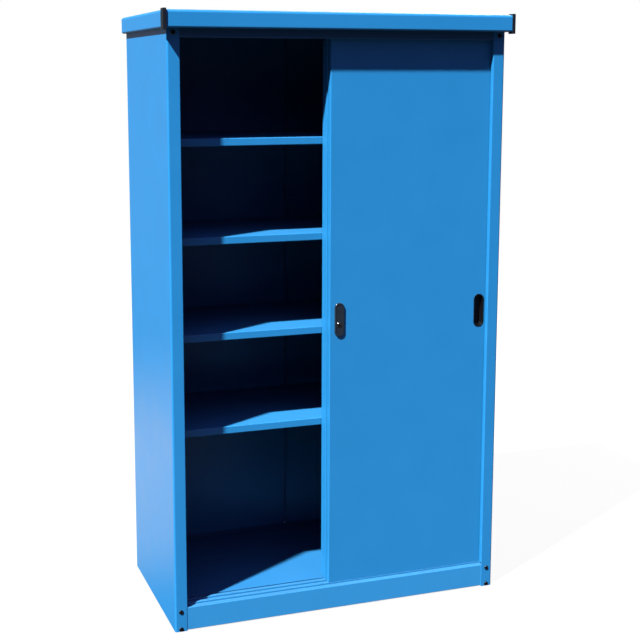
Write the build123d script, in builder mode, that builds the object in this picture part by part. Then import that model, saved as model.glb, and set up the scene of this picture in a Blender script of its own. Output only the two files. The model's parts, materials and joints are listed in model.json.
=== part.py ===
from build123d import *
import os

# Sheet-steel cabinet with two sliding doors. Lengths are in millimetres.
# X runs to the right, Y from the front to the back and Z up. The origin is on the floor, in the
# middle of the cabinet's outline. A "depth" is measured backwards from the front of the posts.

# Body
body_width = 928.0
body_depth = 474.0
lid_top = 1602.0
sheet = 1.0
seat_gap = 0.3
fold_bend = 2.0

# Lid and its two front corner caps
lid_side_overhang = 12.0
lid_front_overhang = 26.0
lid_height = 44.0
lid_bend = 7.5
hem_bend = 5.0
lid_hem = 10.0
cap_front_leg = 6.0
cap_side_leg = 20.0
cap_wall = 3.0
cap_top = 3.0
cap_under = 5.0
cap_round = 2.0
cap_top_round = 1.5

# Side panels, each folded into a front post
post_face = 33.5
post_return = 14.0
post_lip = 12.0
corner_bend = 5.0
back_flange = 25.0
foot_flange = 20.0
foot_setback = 95.0

# Front sill, with two raised rails and a roller groove behind each
kick_lift = 2.5
kick_flange = 18.0
sill_top = 64.0
ledge_lead = 0.5
rail_rise = 5.5
rail_width = 10.0
rail_bend = 1.2
floor_seat = 25.0
sill_drop = 20.0

# Floor and the rails along the back
floor_rise = 3.0
floor_upstand = 10.0
floor_skirt = 30.0
brace_width = 60.0
brace_height = 40.0
back_rail_reach = 30.0
top_rail_height = 40.0
seam_flange = 15.0
seam_end_gap = 12.0

# Header over the doors
header_drop = 66.0
header_flange = 30.0
guide_height = 17.0
web_height = 21.0
divider_foot = 12.0

# Shelves, their uprights and clips
shelf_count = 4
bottom_compartment = 454.0
top_compartment = 272.5
shelf_front_gap = 4.0
shelf_back_gap = 22.0
shelf_lip = 20.0
shelf_hem = 8.0
upright_depth = 10.0
upright_width = 22.0
upright_inset = 15.0
upright_top_gap = 5.0
slots_per_pitch = 5
slot_width = 4.0
slot_height = 14.0
clip_plate = 1.5
clip_width = 14.0
clip_seat = 12.0
clip_drop = 24.0
clip_tongue = 3.0
clip_play = 0.5

# Doors
door_overlap = 7.0
door_thickness = 19.5
door_gap = 3.0
between_doors = 3.0
door_top_gap = 4.0
door_flange = 12.0
door_end_clearance = 20.6
rear_door_short = 1.4
edge_channel_depth = 13.0
edge_channel_end_gap = 8.0
door_brace_width = 32.0
door_brace_depth = 16.0
door_brace_flange = 14.0
door_brace_inset = 2.0

# Flush pulls
pull_width = 31.0
pull_height = 92.0
pull_rim = 2.2
pull_rim_thickness = 0.8
pull_wall = 1.3
pull_depth = 14.0
pull_round = 4.0
pull_clearance = 2.5
pull_height_above_floor = 801.5

# Lock on the front door and its keeper on the rear door
plate_width = 26.5
plate_height = 91.0
plate_thickness = 4.5
plate_round = 1.8
plate_above_floor = 802.5
plate_clearance = 1.8
inset_margin = 4.0
inset_depth = 0.8
window_length = 9.0
window_width = 3.5
window_rise = 20.0
boss_margin = 3.25
boss_depth = 13.0
lock_drop = 14.0
barrel_radius = 7.5
barrel_proud = 0.6
collar_width = 1.5
collar_thickness = 1.7
tail_radius = 4.0
key_slot_width = 1.6
key_slot_length = 8.5
key_slot_depth = 3.0
retainer_width = 3.5
retainer_thickness = 2.5
run_clearance = 0.05
cam_gap = 0.4
cam_thickness = 1.2
cam_hub = 7.0
cam_slot_outer = 18.2
cam_radius = 23.0
cam_start = 70.0
cam_end = 130.0
cam_arm = 12.0
keeper_radius = 2.5
keeper_play = 0.7
keeper_base = 16.0
keeper_base_thickness = 2.0

# Rollers, their brackets and the guides on top of the doors
roller_radius = 10.0
roller_width = 6.0
roller_lift = 0.3
roller_inset = 55.0
axle_rise = 4.0
roller_chamfer = 0.6
pin_radius = 2.5
pin_head = 4.0
pin_head_thickness = 1.0
bracket_plate = 1.5
bracket_length = 32.0
bracket_base = 10.0
bracket_height = 12.0
roller_side_gap = 0.5
slot_margin = 1.5
guide_length = 30.0
guide_pad = 2.5
guide_proud = 0.6
guide_stem_length = 16.0
guide_stem_width = 10.0
guide_stem_height = 12.0
guide_inset = 60.0

# Bumpers and screws
bumper_radius = 7.0
bumper_gap = 0.4
bumper_shares = (0.16, 0.83)
screw_head = 6.0
screw_head_height = 2.4
screw_round = 1.0
screw_shank = 2.2
screw_length = 6.0
screw_hole = 2.4
cross_length = 5.6
cross_width = 1.2
cross_depth = 1.2
front_screw_inset = 16.5
kick_screw_rise = 4.0
kick_screw_drop = 10.0
header_screw_rise = 12.0
back_screw_inset = 12.0
back_screw_count = 5
back_screw_margin = 110.0
lid_screw_rise = 23.0
lid_screw_shares = (-0.43, -0.16, 0.16, 0.43)

# Places across the cabinet
half_width = body_width / 2
inner_half = half_width - sheet
frame_length = 2 * (half_width - corner_bend - seat_gap)
door_width = half_width + door_overlap
door_limit = inner_half - door_end_clearance
front_left = door_limit - door_width
rear_left = front_left - rear_door_short
rear_close = rear_left + door_limit
post_cover = post_face - sheet - door_end_clearance
pull_edge_offset = post_cover + pull_width / 2 + pull_clearance
lock_x = front_left + post_cover + plate_width / 2 + plate_clearance
keeper_reach = cam_slot_outer - keeper_radius - keeper_play
keeper_x = lock_x + keeper_reach + rear_close
upright_face = inner_half - upright_depth
shelf_half = upright_face - clip_plate - clip_play

# Depths behind the front of the posts
lid_back = body_depth + seat_gap + sheet
outline_front = -(lid_front_overhang + cap_wall)
outline_back = lid_back + screw_head_height
front_face = -(outline_front + outline_back) / 2
kick_depth = sheet
back_panel_face = body_depth - sheet
back_rail_back = back_panel_face - sheet
back_rail_front = back_rail_back - back_rail_reach
door_face = post_return + door_gap
door_back = door_face + door_thickness
rear_face = door_back + between_doors
rear_back = rear_face + door_thickness
gap_middle = (door_back + rear_face) / 2
groove_width = door_thickness + between_doors - rail_width
first_rail = door_face - ledge_lead
second_rail = first_rail + rail_width + groove_width
floor_front = second_rail + rail_width + groove_width
roller_behind_face = rail_width + groove_width / 2 - ledge_lead
shelf_front = rear_back + edge_channel_depth + shelf_front_gap
shelf_back = body_depth - shelf_back_gap
front_upright = shelf_front + upright_inset
back_upright = shelf_back - upright_inset - upright_width

# Heights above the floor
lid_bottom = lid_top - lid_height
lid_underside = lid_top - sheet
rail_tops = sill_top + rail_rise
floor_top = sill_top + floor_rise
header_bottom = lid_top - header_drop
header_web = header_bottom + web_height
guide_bottom = header_web - guide_height
roller_z = sill_top + roller_lift + roller_radius
door_bottom = roller_z - axle_rise
door_top = header_web - door_top_gap
lock_z = plate_above_floor - lock_drop
upright_top = header_bottom - upright_top_gap
shelf_room = header_web - floor_top - bottom_compartment - top_compartment
shelf_pitch = shelf_room / (shelf_count - 1)
shelf_tops = [floor_top + bottom_compartment + shelf_pitch * level for level in range(shelf_count)]
slot_pitch = shelf_pitch / slots_per_pitch
slot_below_shelf = shelf_lip + clip_plate + clip_drop / 2


def at(depth):
    """Y of a place that lies this far behind the front of the posts."""
    return front_face + depth


def front_plane(x, z, depth):
    """Plane that faces the front, with X to the right and Z up."""
    return Plane(origin=(x, at(depth), z), x_dir=(1, 0, 0), z_dir=(0, -1, 0))


def back_plane(x, z, depth):
    """Plane that faces the back, with Z up."""
    return Plane(origin=(x, at(depth), z), x_dir=(-1, 0, 0), z_dir=(0, 1, 0))


def folded(plane, points, bends, side=Side.LEFT):
    """Section of a folded sheet whose outer face follows the points."""
    with BuildSketch(plane) as outline:
        with BuildLine():
            FilletPolyline(*points, radius=bends)
            offset(amount=sheet, side=side)
        make_face()
    return outline.sketch


def across(length):
    """Plane at the left end of a piece that runs this far along X."""
    return Plane.YZ.offset(-length / 2)


def in_depth(points):
    """Turns pairs of depth and height into pairs of Y and Z."""
    return [(at(depth), z) for depth, z in points]


def in_plan(points):
    """Turns pairs of X and depth into pairs of X and Y."""
    return [(x, at(depth)) for x, depth in points]


def hand_over(piece, node):
    """Labels a finished piece and writes it to its own file."""
    piece.part.label = node
    export_step(piece.part, f"parts/{node}.step")


def box_between(low, high, mode=Mode.ADD):
    """Box between two corners, given as X, depth and Z."""
    sizes = [b - a for a, b in zip(low, high)]
    middle = [(a + b) / 2 for a, b in zip(low, high)]
    with Locations((middle[0], at(middle[1]), middle[2])):
        Box(*sizes, mode=mode)


os.makedirs("parts", exist_ok=True)

# Screw places, as planes on the face that each head rests on
front_screw_levels = (
    kick_lift + kick_screw_rise,
    sill_top - kick_screw_drop,
    header_bottom + header_screw_rise,
)
front_screw_planes = [
    front_plane(side * (half_width - front_screw_inset), z, 0)
    for side in (-1, 1)
    for z in front_screw_levels
]
back_screw_step = (lid_bottom - 2 * back_screw_margin) / (back_screw_count - 1)
back_screw_planes = [
    back_plane(
        side * (half_width - back_screw_inset), back_screw_margin + step * back_screw_step, body_depth
    )
    for side in (-1, 1)
    for step in range(back_screw_count)
]
lid_screw_planes = [
    back_plane(share * body_width, lid_bottom + lid_screw_rise, lid_back) for share in lid_screw_shares
]

# Side panels: rear flange, side wall, post face, return and lip folded from one sheet
post_inner = -half_width + post_face
side_points = in_plan(
    [
        (-half_width + back_flange, body_depth),
        (-half_width, body_depth),
        (-half_width, 0),
        (post_inner, 0),
        (post_inner, post_return),
        (post_inner - post_lip, post_return),
    ]
)
with BuildPart() as left_side_panel:
    extrude(
        folded(Plane.XY, side_points, [fold_bend, corner_bend, fold_bend, fold_bend]),
        amount=lid_underside,
    )
    for bottom, top in (0, rail_tops + fold_bend), (header_bottom - fold_bend, lid_top):
        box_between(
            (post_inner - post_lip - sheet, sheet, bottom),
            (post_inner + sheet, post_return + sheet, top),
            Mode.SUBTRACT,
        )
    box_between(
        (-inner_half, foot_setback, 0),
        (-inner_half + foot_flange, body_depth - back_rail_reach - foot_flange, sheet),
    )
    with Locations(*front_screw_planes):
        Hole(screw_hole, depth=sheet)
    with Locations(*back_screw_planes):
        Hole(screw_hole, depth=sheet)
hand_over(left_side_panel, "left_side_panel")

with BuildPart() as right_side_panel:
    mirror(left_side_panel.part, about=Plane.YZ)
hand_over(right_side_panel, "right_side_panel")

# Back, in two panels that meet in a seam folded inwards
back_outer = half_width - fold_bend - seat_gap
seam_half = seat_gap / 2
back_points = in_plan(
    [
        (-seam_half, back_panel_face - seam_flange),
        (-seam_half, back_panel_face),
        (-back_outer, back_panel_face),
    ]
)
seam_bottom = floor_top + seam_end_gap
seam_top = lid_underside - top_rail_height - sheet
with BuildPart() as left_back_panel:
    extrude(
        folded(Plane.XY.offset(fold_bend), back_points, fold_bend),
        amount=lid_underside - sheet - fold_bend,
    )
    for bottom, top in (0, seam_bottom), (seam_top, lid_top):
        box_between(
            (-back_outer, back_panel_face - seam_flange - sheet, bottom),
            (seam_half, back_panel_face - sheet, top),
            Mode.SUBTRACT,
        )
    with Locations(*back_screw_planes):
        Hole(screw_hole, depth=3 * sheet)
    with Locations(*lid_screw_planes):
        Hole(screw_hole, depth=screw_length)
hand_over(left_back_panel, "left_back_panel")

with BuildPart() as right_back_panel:
    mirror(left_back_panel.part, about=Plane.YZ)
hand_over(right_back_panel, "right_back_panel")

# Sill: kick plate, ledge, two rails with their grooves and the seat of the floor
sill_points = in_depth(
    [
        (kick_depth + kick_flange, kick_lift),
        (kick_depth, kick_lift),
        (kick_depth, sill_top),
        (first_rail, sill_top),
        (first_rail, rail_tops),
        (first_rail + rail_width, rail_tops),
        (first_rail + rail_width, sill_top),
        (second_rail, sill_top),
        (second_rail, rail_tops),
        (second_rail + rail_width, rail_tops),
        (second_rail + rail_width, sill_top),
        (floor_front + floor_seat, sill_top),
        (floor_front + floor_seat, sill_top - sill_drop),
    ]
)
with BuildPart() as front_sill:
    extrude(
        folded(across(frame_length), sill_points, rail_bend, Side.RIGHT),
        amount=frame_length,
    )
    with Locations(*front_screw_planes):
        Hole(screw_hole, depth=3 * sheet)
hand_over(front_sill, "front_sill")

# Floor, with a low upstand at the back and a skirt at each end
floor_half = inner_half - seat_gap
floor_back = back_panel_face - 2 * sheet - seat_gap
floor_points = in_depth(
    [
        (floor_back, floor_top + floor_upstand),
        (floor_back, floor_top),
        (floor_front, floor_top),
        (floor_front, sill_top),
    ]
)
skirt_front = floor_front + floor_seat + fold_bend
skirt_back = back_rail_front
with BuildPart() as floor_panel:
    extrude(
        folded(across(2 * floor_half), floor_points, rail_bend), amount=2 * floor_half
    )
    for side in (-1, 1):
        ends = sorted((side * floor_half, side * (floor_half - sheet)))
        box_between(
            (ends[0], skirt_front, floor_top - floor_skirt),
            (ends[1], skirt_back, floor_top - sheet),
        )
hand_over(floor_panel, "floor_panel")

# Brace under the floor, a hat section from the sill to the rail at the back
brace_half = brace_width / 2
brace_top = floor_top - sheet
brace_points = [
    (-brace_half - kick_flange, brace_top),
    (-brace_half, brace_top),
    (-brace_half, brace_top - brace_height),
    (brace_half, brace_top - brace_height),
    (brace_half, brace_top),
    (brace_half + kick_flange, brace_top),
]
with BuildPart() as floor_brace:
    extrude(
        folded(
            front_plane(0, 0, skirt_front),
            brace_points,
            fold_bend,
            Side.RIGHT,
        ),
        amount=-(skirt_back - skirt_front),
    )
hand_over(floor_brace, "floor_brace")


def back_rail(bottom, top):
    """Channel along the back between two heights, open to the front."""
    points = [
        (back_rail_front, bottom),
        (back_rail_back, bottom),
        (back_rail_back, top),
        (back_rail_front, top),
    ]
    length = 2 * (inner_half - seat_gap)
    return extrude(
        folded(across(length), in_depth(points), rail_bend), amount=length, mode=Mode.PRIVATE
    )


with BuildPart() as base_back_rail:
    add(back_rail(0, floor_top - sheet))
hand_over(base_back_rail, "base_back_rail")

with BuildPart() as top_back_rail:
    add(back_rail(lid_underside - top_rail_height, lid_underside))
    with Locations(*lid_screw_planes):
        Hole(screw_hole, depth=screw_length)
hand_over(top_back_rail, "top_back_rail")

# Header: fascia, front guide, web over the doors and rear guide folded from one sheet
rear_guide = rear_back + 2 * sheet
header_points = in_depth(
    [
        (rear_guide, guide_bottom),
        (rear_guide, header_web + sheet),
        (door_face - 2 * sheet, header_web + sheet),
        (door_face - 2 * sheet, header_bottom + sheet),
        (2 * sheet, header_bottom + sheet),
        (2 * sheet, lid_underside - sheet),
        (header_flange, lid_underside - sheet),
    ]
)
with BuildPart() as header:
    extrude(folded(across(frame_length), header_points, rail_bend), amount=frame_length)
    with Locations(*front_screw_planes):
        Hole(screw_hole, depth=3 * sheet)
hand_over(header, "header")

# Divider that hangs from the header's web between the two doors
divider_points = in_depth(
    [
        (gap_middle + sheet / 2 - divider_foot, header_web),
        (gap_middle + sheet / 2, header_web),
        (gap_middle + sheet / 2, guide_bottom),
    ]
)
with BuildPart() as track_divider:
    extrude(
        folded(across(frame_length), divider_points, rail_bend, Side.RIGHT),
        amount=frame_length,
    )
hand_over(track_divider, "track_divider")

# Lid: a shell with rounded front and side edges and a hem under its overhang
lid_half = half_width + lid_side_overhang
with BuildPart() as lid:
    box_between((-lid_half, -lid_front_overhang, lid_bottom), (lid_half, lid_back, lid_top))
    for level, bend in (0, hem_bend), (-1, lid_bend):
        rear_edges = lid.edges().group_by(Axis.Y)[-1]
        level_edges = lid.edges().filter_by(Axis.Z, reverse=True).group_by(Axis.Z)[level]
        fillet([edge for edge in level_edges if edge not in rear_edges], bend)
    offset(lid.part, amount=-sheet, mode=Mode.SUBTRACT)
    box_between(
        (-lid_half + sheet + lid_hem, -lid_front_overhang + sheet + lid_hem, lid_bottom - sheet),
        (lid_half - sheet - lid_hem, lid_back - sheet, lid_bottom + 2 * sheet),
        Mode.SUBTRACT,
    )
    with Locations(*lid_screw_planes):
        Hole(screw_hole, depth=sheet)
hand_over(lid, "lid")

# Corner caps, which wrap the lid's front corners and lap over its top and bottom
with BuildPart() as left_lid_cap:
    box_between(
        (-lid_half - cap_wall, -lid_front_overhang - cap_wall, lid_bottom - cap_under),
        (-lid_half + cap_front_leg, -lid_front_overhang + cap_side_leg, lid_top + cap_top),
    )
    upright_edges = left_lid_cap.edges().filter_by(Axis.Z)
    fillet(upright_edges.group_by(Axis.X)[0].sort_by(Axis.Y)[0], cap_round)
    fillet(left_lid_cap.edges().group_by(Axis.Z)[-1], cap_top_round)
    box_between((-lid_half, -lid_front_overhang, lid_bottom), (0, body_depth, lid_top), Mode.SUBTRACT)
hand_over(left_lid_cap, "left_lid_cap")

with BuildPart() as right_lid_cap:
    mirror(left_lid_cap.part, about=Plane.YZ)
hand_over(right_lid_cap, "right_lid_cap")

# Uprights: slotted channels on the side walls that carry the shelf clips
slots_low = int((bottom_compartment - slot_below_shelf) // slot_pitch)
slot_first = shelf_tops[0] - slot_below_shelf - slots_low * slot_pitch
slot_total = int((upright_top - slot_height - slot_first) // slot_pitch) + 1


def upright(front):
    """Slotted channel on the left wall, its front flange at the given depth."""
    points = in_plan(
        [
            (-inner_half, front),
            (-upright_face, front),
            (-upright_face, front + upright_width),
            (-inner_half, front + upright_width),
        ]
    )
    with BuildPart() as channel:
        extrude(
            folded(Plane.XY.offset(floor_top), points, rail_bend), amount=upright_top - floor_top
        )
        for step in range(slot_total):
            with Locations(
                (-upright_face, at(front + upright_width / 2), slot_first + step * slot_pitch)
            ):
                Box(4 * sheet, slot_width, slot_height, mode=Mode.SUBTRACT)
    return channel


for row, depth in ("front", front_upright), ("back", back_upright):
    left_upright = upright(depth)
    hand_over(left_upright, f"left_{row}_upright")
    with BuildPart() as right_upright:
        mirror(left_upright.part, about=Plane.YZ)
    hand_over(right_upright, f"right_{row}_upright")

# Shelves: pans with a lip all round, numbered from the lowest
for number, top in enumerate(shelf_tops, start=1):
    shelf_points = in_depth(
        [
            (shelf_back - shelf_hem, top - shelf_lip),
            (shelf_back, top - shelf_lip),
            (shelf_back, top),
            (shelf_front, top),
            (shelf_front, top - shelf_lip),
            (shelf_front + shelf_hem, top - shelf_lip),
        ]
    )
    with BuildPart() as shelf:
        extrude(folded(across(2 * shelf_half), shelf_points, fold_bend), amount=2 * shelf_half)
        for side in (-1, 1):
            ends = sorted((side * shelf_half, side * (shelf_half - sheet)))
            box_between(
                (ends[0], shelf_front + fold_bend, top - shelf_lip),
                (ends[1], shelf_back - fold_bend, top - sheet),
            )
    hand_over(shelf, f"shelf_{number}")

# Clips: a plate with a tongue in an upright's slot and a seat under the shelf
with BuildPart() as shelf_clips:
    for top in shelf_tops:
        seat = top - shelf_lip
        for front in front_upright, back_upright:
            middle = front + upright_width / 2
            for side in (-1, 1):
                plate = sorted((side * upright_face, side * (upright_face - clip_plate)))
                box_between(
                    (plate[0], middle - clip_width / 2, seat - clip_plate - clip_drop),
                    (plate[1], middle + clip_width / 2, seat),
                )
                shelf_rest = sorted((side * upright_face, side * (upright_face - clip_seat)))
                box_between(
                    (shelf_rest[0], middle - clip_width / 2, seat - clip_plate),
                    (shelf_rest[1], middle + clip_width / 2, seat),
                )
                tongue = sorted((side * upright_face, side * (upright_face + clip_tongue)))
                tongue_middle = top - slot_below_shelf
                tongue_half = slot_height / 2 - clip_play
                box_between(
                    (tongue[0], middle - slot_width / 2 + clip_play, tongue_middle - tongue_half),
                    (tongue[1], middle + slot_width / 2 - clip_play, tongue_middle + tongue_half),
                )
hand_over(shelf_clips, "shelf_clips")

# Bumpers on the side walls that stop the doors
with BuildPart() as door_bumpers:
    for side in (-1, 1):
        for depth in door_face + door_thickness / 2, rear_face + door_thickness / 2:
            for share in bumper_shares:
                z = door_bottom + share * (door_top - door_bottom)
                wall = Plane(
                    origin=(side * inner_half, at(depth), z), x_dir=(0, 1, 0), z_dir=(-side, 0, 0)
                )
                with Locations(wall):
                    Cylinder(
                        bumper_radius,
                        door_end_clearance - bumper_gap,
                        align=(Align.CENTER, Align.CENTER, Align.MIN),
                    )
hand_over(door_bumpers, "door_bumpers")


def screws(planes, node):
    """Group of cross-recessed screws whose heads rest on the given planes."""
    with BuildPart() as group:
        with Locations(*planes):
            Cylinder(screw_head, screw_head_height, align=(Align.CENTER, Align.CENTER, Align.MIN))
        outward = Axis(planes[0].origin, planes[0].z_dir)
        fillet(group.edges().group_by(outward)[-1], screw_round)
        with Locations(*planes):
            Cylinder(screw_shank, screw_length, align=(Align.CENTER, Align.CENTER, Align.MAX))
        recesses = [plane.offset(screw_head_height) for plane in planes]
        with Locations(*recesses):
            Box(cross_length, cross_width, 2 * cross_depth, mode=Mode.SUBTRACT)
            Box(cross_width, cross_length, 2 * cross_depth, mode=Mode.SUBTRACT)
    hand_over(group, node)


screws(front_screw_planes, "front_screws")
screws(back_screw_planes, "back_screws")
screws(lid_screw_planes, "lid_screws")


def door_shell(left, face, pull_x):
    """Door pan with the cuts for its pull, rollers and top guides."""
    right = left + door_width
    back = face + door_thickness
    points = in_plan(
        [
            (left + door_flange, back),
            (left, back),
            (left, face),
            (right, face),
            (right, back),
            (right - door_flange, back),
        ]
    )
    with BuildPart() as shell:
        extrude(
            folded(Plane.XY.offset(door_bottom), points, fold_bend), amount=door_top - door_bottom
        )
        for bottom in door_bottom, door_top - sheet:
            box_between(
                (left + sheet, face + sheet, bottom),
                (right - sheet, back - sheet, bottom + sheet),
            )
        with BuildSketch(front_plane(pull_x, pull_height_above_floor, face)):
            SlotOverall(pull_height - 2 * pull_rim, pull_width - 2 * pull_rim, rotation=90)
        extrude(amount=-sheet, mode=Mode.SUBTRACT)
        roller_front = face + roller_behind_face - roller_width / 2 - slot_margin
        for x in left + roller_inset, right - roller_inset:
            box_between(
                (x - roller_radius - slot_margin, roller_front, door_bottom - sheet),
                (x + roller_radius + slot_margin, back + sheet, door_bottom + 2 * sheet),
                Mode.SUBTRACT,
            )
        stem_middle = face + door_thickness / 2
        for x in left + guide_inset, right - guide_inset:
            with Locations((x, at(stem_middle), door_top)):
                Box(
                    guide_stem_length + 2 * seat_gap,
                    guide_stem_width + 2 * seat_gap,
                    4 * sheet,
                    mode=Mode.SUBTRACT,
                )
    return shell.part


def door_brace(left, face, node):
    """Hat-section stiffener on the inside of a door's skin, halfway along it."""
    middle = left + door_width / 2
    half = door_brace_width / 2
    skin = face + 2 * sheet
    points = in_plan(
        [
            (middle - half - door_brace_flange, skin),
            (middle - half, skin),
            (middle - half, face + sheet + door_brace_depth),
            (middle + half, face + sheet + door_brace_depth),
            (middle + half, skin),
            (middle + half + door_brace_flange, skin),
        ]
    )
    bottom = door_bottom + sheet + door_brace_inset
    top = door_top - sheet - door_brace_inset
    with BuildPart() as brace:
        extrude(folded(Plane.XY.offset(bottom), points, fold_bend, Side.RIGHT), amount=top - bottom)
    hand_over(brace, node)


def flush_pull(x, face, node):
    """Stadium-shaped cup with a thin rim on the door's skin."""
    plane = front_plane(x, pull_height_above_floor, face)
    cup_height = pull_height - 2 * (pull_rim + seat_gap)
    cup_width = pull_width - 2 * (pull_rim + seat_gap)
    with BuildPart() as hollow:
        with BuildSketch(plane.offset(pull_rim_thickness)):
            SlotOverall(cup_height - 2 * pull_wall, cup_width - 2 * pull_wall, rotation=90)
        extrude(amount=-(pull_rim_thickness + pull_depth - pull_wall))
        fillet(hollow.edges().group_by(Axis.Y)[-1], pull_round - pull_wall)
    with BuildPart() as pull:
        with BuildSketch(plane):
            SlotOverall(pull_height, pull_width, rotation=90)
        extrude(amount=pull_rim_thickness)
        fillet(pull.edges().group_by(Axis.Y)[0], pull_rim_thickness / 2)
        with BuildSketch(plane):
            SlotOverall(cup_height, cup_width, rotation=90)
        extrude(amount=-pull_depth)
        fillet(pull.edges().group_by(Axis.Y)[-1], pull_round)
        add(hollow.part, mode=Mode.SUBTRACT)
    hand_over(pull, node)


def roller_set(left, face, prefix):
    """Brackets, pins and rollers at the bottom of a door."""
    middle = face + roller_behind_face
    places = {"left": left + roller_inset, "right": left + door_width - roller_inset}
    cheek_back = middle - roller_width / 2 - roller_side_gap
    cheek_front = cheek_back - bracket_plate
    seat = door_bottom + sheet
    with BuildPart() as brackets:
        for x in places.values():
            box_between(
                (x - bracket_length / 2, cheek_back - bracket_base, seat),
                (x + bracket_length / 2, cheek_back, seat + bracket_plate),
            )
            box_between(
                (x - bracket_length / 2, cheek_front, seat),
                (x + bracket_length / 2, cheek_back, seat + bracket_height),
            )
            with Locations(front_plane(x, roller_z, cheek_front)):
                Hole(pin_radius, depth=bracket_plate)
    hand_over(brackets, f"{prefix}_roller_brackets")

    pin_back = middle + roller_width / 2 + roller_side_gap
    with BuildPart() as pins:
        for x in places.values():
            with BuildSketch(front_plane(x, roller_z, pin_back)):
                Circle(pin_radius)
            extrude(amount=pin_back - cheek_front)
            with BuildSketch(front_plane(x, roller_z, pin_back)):
                Circle(pin_head)
            extrude(amount=-pin_head_thickness)
    hand_over(pins, f"{prefix}_roller_pins")

    for side, x in places.items():
        with BuildPart() as roller:
            with BuildSketch(front_plane(x, roller_z, middle)):
                Circle(roller_radius)
                Circle(pin_radius + run_clearance, mode=Mode.SUBTRACT)
            extrude(amount=roller_width / 2, both=True)
            rims = roller.edges().filter_by(GeomType.CIRCLE).group_by(SortBy.RADIUS)[-1]
            chamfer(rims, roller_chamfer)
        hand_over(roller, f"{prefix}_{side}_roller")


def top_guides(left, face, node):
    """Guide blocks whose stems sit in the door's top edge."""
    middle = face + door_thickness / 2
    with BuildPart() as guides:
        for x in left + guide_inset, left + door_width - guide_inset:
            box_between(
                (x - guide_length / 2, face - guide_proud, door_top),
                (x + guide_length / 2, face + door_thickness + guide_proud, door_top + guide_pad),
            )
            box_between(
                (x - guide_stem_length / 2, middle - guide_stem_width / 2, door_top - guide_stem_height),
                (x + guide_stem_length / 2, middle + guide_stem_width / 2, door_top),
            )
    hand_over(guides, node)


# Pieces that both doors have
front_pull_x = front_left + door_width - pull_edge_offset
rear_pull_x = rear_left + pull_edge_offset
for prefix, left, face, pull_x in (
    ("front_door", front_left, door_face, front_pull_x),
    ("rear_door", rear_left, rear_face, rear_pull_x),
):
    door_brace(left, face, f"{prefix}_brace")
    flush_pull(pull_x, face, f"{prefix}_pull")
    roller_set(left, face, prefix)
    top_guides(left, face, f"{prefix}_top_guides")

# Front door panel, with the opening for the lock's body
plate_plane = front_plane(lock_x, plate_above_floor, door_face)
boss_height = plate_height - 2 * boss_margin
boss_width = plate_width - 2 * boss_margin
with BuildPart() as front_door_panel:
    add(door_shell(front_left, door_face, front_pull_x))
    with BuildSketch(plate_plane):
        SlotOverall(boss_height + 2 * seat_gap, boss_width + 2 * seat_gap, rotation=90)
    extrude(amount=-sheet, mode=Mode.SUBTRACT)
hand_over(front_door_panel, "front_door_panel")

# Rear door panel, with the hole for the keeper
with BuildPart() as rear_door_panel:
    add(door_shell(rear_left, rear_face, rear_pull_x))
    with Locations(front_plane(keeper_x, lock_z, rear_face)):
        Hole(keeper_radius + seat_gap, depth=sheet)
hand_over(rear_door_panel, "rear_door_panel")

# Channel behind the rear door's leading edge
edge_channel_bottom = door_bottom + edge_channel_end_gap
edge_channel_top = guide_bottom - edge_channel_end_gap
channel_points = in_plan(
    [
        (rear_left + door_flange, rear_back + edge_channel_depth),
        (rear_left, rear_back + edge_channel_depth),
        (rear_left, rear_back),
        (rear_left + door_flange, rear_back),
    ]
)
with BuildPart() as rear_door_edge_channel:
    extrude(
        folded(Plane.XY.offset(edge_channel_bottom), channel_points, rail_bend),
        amount=edge_channel_top - edge_channel_bottom,
    )
hand_over(rear_door_edge_channel, "rear_door_edge_channel")

# Lock plate: raised stadium with an inset face, a small window and a body behind the skin
lock_plane = front_plane(lock_x, lock_z, door_face)
with BuildPart() as lock_plate:
    with BuildSketch(plate_plane):
        SlotOverall(plate_height, plate_width, rotation=90)
    extrude(amount=plate_thickness)
    fillet(lock_plate.edges().group_by(Axis.Y)[0], plate_round)
    with BuildSketch(plate_plane):
        SlotOverall(boss_height, boss_width, rotation=90)
    extrude(amount=-boss_depth)
    with BuildSketch(plate_plane.offset(plate_thickness)):
        SlotOverall(plate_height - 2 * inset_margin, plate_width - 2 * inset_margin, rotation=90)
    extrude(amount=-inset_depth, mode=Mode.SUBTRACT)
    window_z = plate_above_floor + window_rise
    with BuildSketch(front_plane(lock_x, window_z, door_face - plate_thickness + inset_depth)):
        SlotOverall(window_length, window_width)
    extrude(amount=-inset_depth, mode=Mode.SUBTRACT)
    with Locations(lock_plane.offset(plate_thickness)):
        Hole(barrel_radius + run_clearance, depth=plate_thickness + boss_depth)
hand_over(lock_plate, "lock_plate")

# Retainer behind the lock's body
retainer_plane = lock_plane.offset(-boss_depth)
with BuildPart() as lock_retainer:
    with BuildSketch(retainer_plane):
        Circle(barrel_radius + retainer_width)
        Circle(barrel_radius + run_clearance, mode=Mode.SUBTRACT)
    extrude(amount=-retainer_thickness)
hand_over(lock_retainer, "lock_retainer")

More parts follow.
